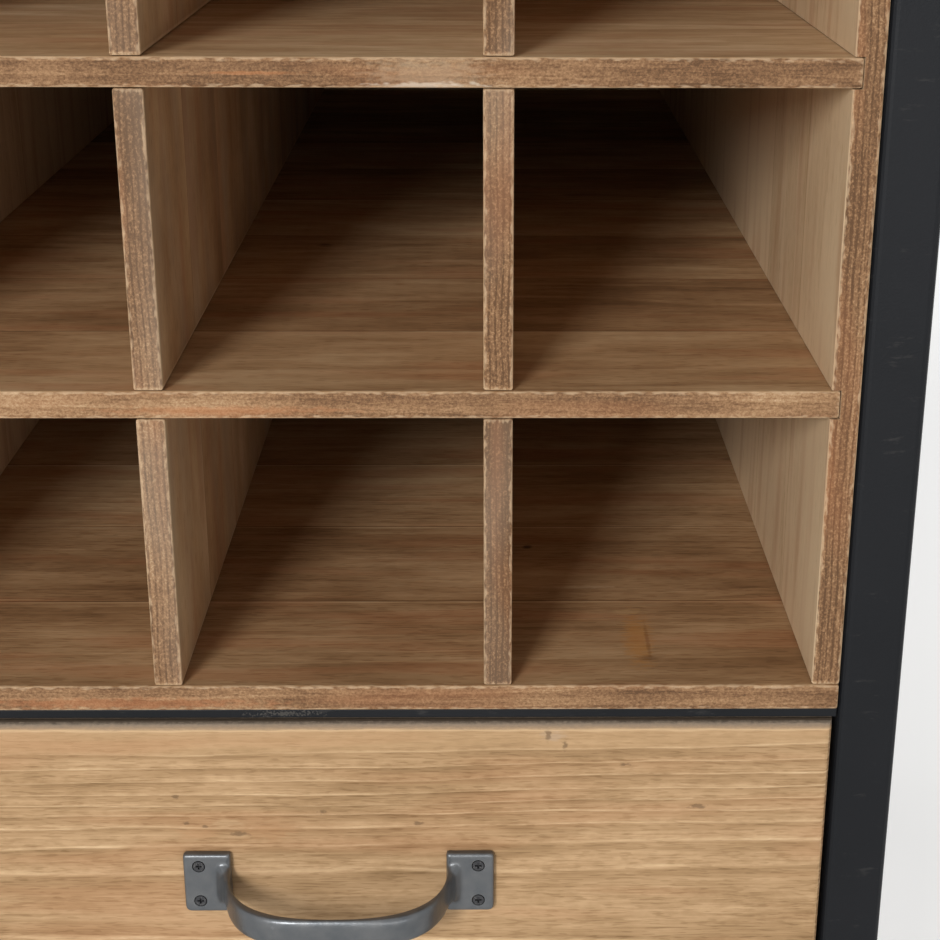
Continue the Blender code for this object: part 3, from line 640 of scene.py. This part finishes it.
def front_figure(graph, seed):
    """The drawer front's one wide board: rings round a pith just behind its face."""
    along, across, through = board_place(graph, "xzy")
    fir = fir_texture(graph, along, across, through, seed)
    side = graph.math("SUBTRACT", across, PITH_HEIGHT)
    depth = graph.math("SUBTRACT", through, FACE_Y + PITH_DEPTH)
    sweep = graph.noise(fir.place, (6.0, 9.0, 9.0), 1.0)
    tremble = graph.noise(fir.place, (22.0, 110.0, 110.0), 1.0)
    fan = graph.math("MAXIMUM", graph.math("SUBTRACT", along, FAN_START), 0.0)
    fanned = graph.math("MULTIPLY", pith_radius(graph, side, depth),
                        graph.total(1.0, graph.scaled(fan, -RING_FAN)))
    radius = graph.total(fanned, graph.swing(sweep, FRONT_SWEEP), graph.swing(tremble, RING_TREMBLE))
    last = len(RING_RADII) + 1
    stops = [(0.0, 0.0)]
    stops += [(ring / RING_REACH, (number + 1) / last) for number, ring in enumerate(RING_RADII)]
    stops.append((1.0, 1.0))
    fir.phase = graph.scaled(graph.curve(graph.scaled(radius, 1 / RING_REACH), *stops), float(last))
    ring_lines(graph, fir, fir.phase)
    fir.tone = 0.5
    fir.seam = 0.0
    fir.drop = graph.math("SUBTRACT", RACK_FLOOR, across)
    fir.behind = graph.math("SUBTRACT", through, FACE_Y)
    return fir


def front_marks(graph, fir, colour):
    """Discoloured patches, and small dark marks with torn outlines."""
    for x, drop, wide, tall, tone, strength in FRONT_PATCHES:
        middle = (x, FACE_Y, RACK_FLOOR - drop)
        colour = stained(graph, fir.ragged, colour, middle, (wide, FRONT_SOAK, tall), tone, strength)
    ragged = graph.noise(fir.place, (420.0, 800.0, 800.0), 2.0, 0.6)
    for x, drop, wide, tall in FRONT_MARKS:
        middle = (x, FACE_Y, RACK_FLOOR - drop)
        colour = stained(graph, ragged, colour, middle, (wide, FRONT_SOAK, tall), MARK_BROWN,
                         MARK_STRENGTH, MARK_TORN)
    return colour


def front_dust_and_shade(graph, fir, colour):
    """A thin light line along the top arris, and above it a grey, dusty band that darkens at the top into
    painted shade of the gap under the steel bar.
    """
    grit = graph.noise(fir.place, (500.0, 900.0, 900.0), 3.0, 0.7)
    behind = graph.remap(fir.behind, *BEHIND_FADE, 0.0, BEHIND_LIGHTER)
    # Painted shade of the gap under the steel bar high on the edge, grey dust lower down, lifted on the top
    # face
    shade_and_soot = graph.total(graph.remap(fir.drop, *SHADE_TO_DUST_FADE), graph.swing(grit, 0.18), behind)
    waver = graph.noise(fir.place, (70.0, 500.0, 500.0), 1.0)
    drop = graph.total(fir.drop, graph.swing(waver, 0.0006))
    line = graph.math("ABSOLUTE", graph.math("SUBTRACT", drop, ARRIS_LINE))
    colour = graph.mix(graph.remap(line, *ARRIS_WIDTH, ARRIS_SHARE, 0.0), colour, ARRIS_LIGHT)
    return graph.mix(graph.remap(drop, *SHADE_AND_DUST_FOOT, SHADE_AND_DUST_SHARE, 0.0), colour, graph.curve(shade_and_soot, *DUST_AND_SHADE))


def drawer_front():
    """Brushed honey fir with dark marks, a worn top arris, and a dusty top edge with painted shade under the
    bar.
    """
    material, graph, shader = new_material("drawer_front_fir")
    fir = front_figure(graph, 3)
    shade = honey_shade(graph, fir)
    plain = graph.remap(fir.phase, *PLAIN_PHASE, 0.0, PLAIN_SHARE)
    colour = graph.mix(plain, graph.curve(shade, *HONEY), PLAIN_FIR)
    colour = finish_wood(graph, shader, fir, shade, colour, "drawer_front", end_axis=0, red=0.20, worn=0.35)
    colour = front_dust_and_shade(graph, fir, front_marks(graph, fir, colour))
    graph.feed(shader.inputs["Base Color"], colour)
    honey_relief(graph, shader, fir)
    dress("drawer_front", material)


def pale_board(node, axes, seed):
    """Plain softwood and plywood out of sight: pale, with long soft figure."""
    material, graph, shader = new_material(node + "_ply")
    fir = stave_fir(graph, axes, seed, PALE_SEAM_STEP * seed)
    shade = graph.total(0.52,
                        graph.swing(fir.fibre, 0.16),
                        graph.swing(fir.strand, 0.16),
                        graph.swing(fir.mottle, 0.10),
                        graph.swing(fir.blotch, 0.16),
                        graph.scaled(fir.dark, -0.12),
                        graph.scaled(fir.late, 0.08))
    colour = graph.curve(shade, *PALE)
    finish_wood(graph, shader, fir, shade, colour, node, end_axis="xyz".index(axes[0]), red=0.12, worn=0.15)
    relief = graph.total(graph.scaled(fir.fibre, 0.4), graph.scaled(fir.late, 0.3))
    graph.feed(shader.inputs["Normal"], graph.lift(relief, 0.35, 0.0002))
    dress(node, material)


def black_steel():
    """Powder coat: near black, with a fine orange-peel texture, greyer scuffs, and dust on the front bar."""
    material, graph, shader = new_material("black_steel")
    place = graph.place()
    cloud = graph.noise(place, (9.0, 9.0, 9.0), 3.0)
    grain = graph.noise(place, (1600.0, 1600.0, 1600.0), 2.0)
    scuff = graph.remap(graph.noise(place, (60.0, 60.0, 240.0), 4.0, 0.7), 0.78, 1.0)
    colour = graph.mix(graph.scaled(scuff, 0.35), graph.mix(cloud, *STEEL), STEEL_SCUFF)
    grit = graph.noise(place, (1500.0, 1500.0, 1500.0), 1.0)
    low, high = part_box("rack_bar_front")
    middle = (BAR_DUST_X, low.y, (low.z + high.z) / 2)
    colour = stained(graph, grit, colour, middle, BAR_DUST_HALF, BAR_DUST, BAR_DUST_STRENGTH, BAR_DUST_TORN)
    graph.feed(shader.inputs["Base Color"], colour)
    dull = graph.total(cloud, graph.swing(scuff, 0.4))
    graph.feed(shader.inputs["Roughness"], graph.remap(dull, 0.0, 1.2, *STEEL_ROUGHNESS))
    shader.inputs["Metallic"].default_value = 0.0
    shader.inputs["Specular IOR Level"].default_value = STEEL_SHEEN
    graph.feed(shader.inputs["Normal"], graph.lift(grain, 0.35, 0.00012))
    return material


def cast_iron():
    """Dark grey satin casting with a faint pebbled skin, and high edges that hands have rubbed."""
    material, graph, shader = new_material("cast_iron")
    place = graph.place()
    cloud = graph.noise(place, (160.0, 160.0, 160.0), 3.0)
    pebble = graph.noise(place, (1300.0, 1300.0, 1300.0), 2.0)
    high = graph.remap(graph.node("NewGeometry").outputs["Pointiness"], 0.52, 0.60)
    colour = graph.mix(graph.scaled(high, 0.20), graph.mix(cloud, *IRON), IRON_RUBBED)
    graph.feed(shader.inputs["Base Color"], colour)
    graph.feed(shader.inputs["Roughness"], graph.remap(cloud, 0.0, 1.0, *IRON_ROUGHNESS))
    shader.inputs["Metallic"].default_value = IRON_METALLIC
    graph.feed(shader.inputs["Normal"], graph.lift(pebble, 0.25, 0.00008))
    return material


def black_screw():
    """Blackened steel, scratched by the driver."""
    material, graph, shader = new_material("black_screw")
    scratch = graph.remap(graph.noise(graph.place(), (2600.0, 2600.0, 900.0), 3.0), 0.6, 1.0)
    graph.feed(shader.inputs["Base Color"], graph.mix(graph.scaled(scratch, 0.6), *SCREW))
    graph.feed(shader.inputs["Roughness"], graph.remap(scratch, 0.0, 1.0, *SCREW_ROUGHNESS))
    shader.inputs["Metallic"].default_value = SCREW_METALLIC
    return material


def black_plastic():
    """Moulded glides: matt black with a faint grain."""
    material, graph, shader = new_material("black_plastic")
    place = graph.place()
    grain = graph.noise(place, (2200.0, 2200.0, 2200.0), 2.0)
    cloud = graph.noise(place, (40.0, 40.0, 40.0), 2.0)
    graph.feed(shader.inputs["Base Color"], graph.mix(cloud, *PLASTIC))
    graph.feed(shader.inputs["Roughness"], graph.remap(grain, 0.0, 1.0, *PLASTIC_ROUGHNESS))
    graph.feed(shader.inputs["Normal"], graph.lift(grain, 0.3, 0.0001))
    return material


def dress_boards():
    """Every board, each with a figure of its own. Axes run along the grain, across it and through."""
    seam = FACE_Y + RACK_SEAM
    level = ("rack_bottom", "rack_shelf_1", "rack_shelf_2", "rack_shelf_3", "rack_top", "case_bottom")
    for seed, node in enumerate(level, start=11):
        lip = BOTTOM_LIP if node == "rack_bottom" else SHELF_LIP
        brown_board(node, "xyz", seed, seam_at=seam, lighter=SHELF_TONES.get(node, 0.0), lip=lip)
    for seed, node in enumerate(("rack_side_left", "rack_side_right"), start=21):
        brown_board(node, "zyx", seed, seam_at=seam, **SIDE_LOOK)
    dividers = sorted(node for node in NODES if node.startswith("rack_divider_"))
    for seed, node in enumerate(dividers, start=31):
        brown_board(node, "zyx", seed, seam_at=seam, **DIVIDER_LOOK)
    for seed, node in enumerate(("case_side_left", "case_side_right"), start=51):
        brown_board(node, "yzx", seed, **CASE_LOOK)
    honey_board("worktop", "xyz", 61, seam)
    drawer_front()
    pale = {"rack_back": "zxy", "case_back": "zxy", "drawer_side_left": "yzx", "drawer_side_right": "yzx",
            "drawer_back": "xzy", "drawer_bottom": "yxz", "runner_left": "yzx", "runner_right": "yzx"}
    for seed, (node, axes) in enumerate(pale.items(), start=71):
        pale_board(node, axes, seed)


def dress_metal():
    """Finishes of the frame, the glides and the screws, and the iron that the cast pull takes too."""
    steel = black_steel()
    iron = cast_iron()
    screw = black_screw()
    plastic = black_plastic()
    finishes = {"post_": steel, "top_rail": steel, "bottom_rail": steel, "rack_bar": steel, "glide_": plastic,
                "pull_screw": screw, "runner_screw": screw, "drawer_pull": iron}
    for node in NODES:
        for start, material in finishes.items():
            if node.startswith(start):
                dress(node, material)
    return iron


def settle(piece):
    """Takes the piece's modifiers into its mesh."""
    depsgraph = bpy.context.evaluated_depsgraph_get()
    mesh = bpy.data.meshes.new_from_object(piece.evaluated_get(depsgraph))
    piece.modifiers.clear()
    piece.data = mesh


def pegs(places, radius, tip, front, back):
    """A mesh with one round peg per place, along Y from its radius at the front to its tip at the back."""
    mesh = bmesh.new()
    for x, z in places:
        turn = Matrix.Translation((x, (front + back) / 2, z)) @ Matrix.Rotation(math.radians(90), 4, "X")
        bmesh.ops.create_cone(mesh, cap_ends=True, segments=PEG_SIDES, radius1=tip, radius2=radius,
                              depth=back - front, matrix=turn)
    return mesh


def cast_pull(iron):
    """The pull as a casting: rounded corners, a bail that flows into its plates, and new screw seats."""
    screws = [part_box(node) for node in NODES if node.startswith("pull_screw")]
    places = [((low.x + high.x) / 2, (low.z + high.z) / 2) for low, high in screws]
    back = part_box("drawer_pull")[1].y
    face = back - PLATE_THICKNESS
    pull = link_new("cast_pull", NODES["drawer_pull"].data.copy())
    filled = pegs(places, PLUG_RADIUS, PLUG_RADIUS, face, back - PLUG_INSET)
    filled.from_mesh(pull.data)
    filled.to_mesh(pull.data)
    filled.free()
    remesh = pull.modifiers.new("skin", "REMESH")
    remesh.mode = "VOXEL"
    remesh.voxel_size = PULL_VOXEL
    soften = pull.modifiers.new("soften", "SMOOTH")
    soften.factor = SOFTEN_FACTOR
    soften.iterations = PULL_SOFTENING
    settle(pull)
    seats = pegs(places, SCREW_SEAT, SCREW_HOLE, face - SEAT_BEFORE, back + SEAT_BEYOND)
    cutter = link_new("screw_seats", bpy.data.meshes.new("screw_seats"))
    seats.to_mesh(cutter.data)
    seats.free()
    cut = pull.modifiers.new("seats", "BOOLEAN")
    cut.operation = "DIFFERENCE"
    cut.solver = "EXACT"
    cut.object = cutter
    settle(pull)
    bpy.data.objects.remove(cutter)
    pull.data.shade_smooth()
    pull.data.set_sharp_from_angle(angle=SHARP_ANGLE)
    pull.data.materials.clear()
    pull.data.materials.append(iron)
    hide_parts("drawer_pull")
    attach(pull, "drawer")


def make_floor():
    """A plain pale floor, which shows as white and still takes the cabinet's shadow."""
    reach = FLOOR_REACH
    data = bpy.data.meshes.new("floor")
    data.from_pydata([(-reach, -reach, 0), (reach, -reach, 0), (reach, reach, 0), (-reach, reach, 0)],
                     [], [(0, 1, 2, 3)])
    link_new("floor", data)
    material, graph, shader = new_material("pale_floor")
    shader.inputs["Base Color"].default_value = (*FLOOR_TONE, 1.0)
    shader.inputs["Roughness"].default_value = FLOOR_ROUGHNESS
    shader.inputs["Emission Color"].default_value = WHITE
    fade = graph.remap(graph.length(graph.place()), *FLOOR_FADE, *FLOOR_GLOW, kind="SMOOTHSTEP")
    graph.feed(shader.inputs["Emission Strength"], graph.math("MULTIPLY", graph.seen(), fade))
    data.materials.append(material)


def soft_light(name, place, width, height, watts):
    """A soft box at a place given from the middle of the rack's front edge, aimed at it."""
    data = bpy.data.lights.new(name, "AREA")
    data.shape = "RECTANGLE"
    data.size = width
    data.size_y = height
    data.energy = watts
    lamp = link_new(name, data)
    lamp.location = Vector((0.0, FACE_Y, RACK_FLOOR)) + Vector(place)
    lamp.rotation_euler = (-Vector(place)).to_track_quat("-Z", "Y").to_euler()


def make_lights():
    """A low key from the front left, a wide window in front, lights above and behind, and a pale room."""
    for light in LIGHTS:
        soft_light(*light)
    world = bpy.data.worlds.new("room")
    bpy.context.scene.world = world
    world.use_nodes = True
    graph = Graph(world.node_tree)
    back = world.node_tree.nodes["Background"]
    back.inputs["Color"].default_value = WHITE
    graph.feed(back.inputs["Strength"], graph.remap(graph.seen(), 0.0, 1.0, ROOM_LIGHT, ROOM_SEEN))


make_camera()
make_floor()
make_lights()
dress_boards()
cast_pull(dress_metal())

bpy.context.scene.view_settings.view_transform = "Standard"
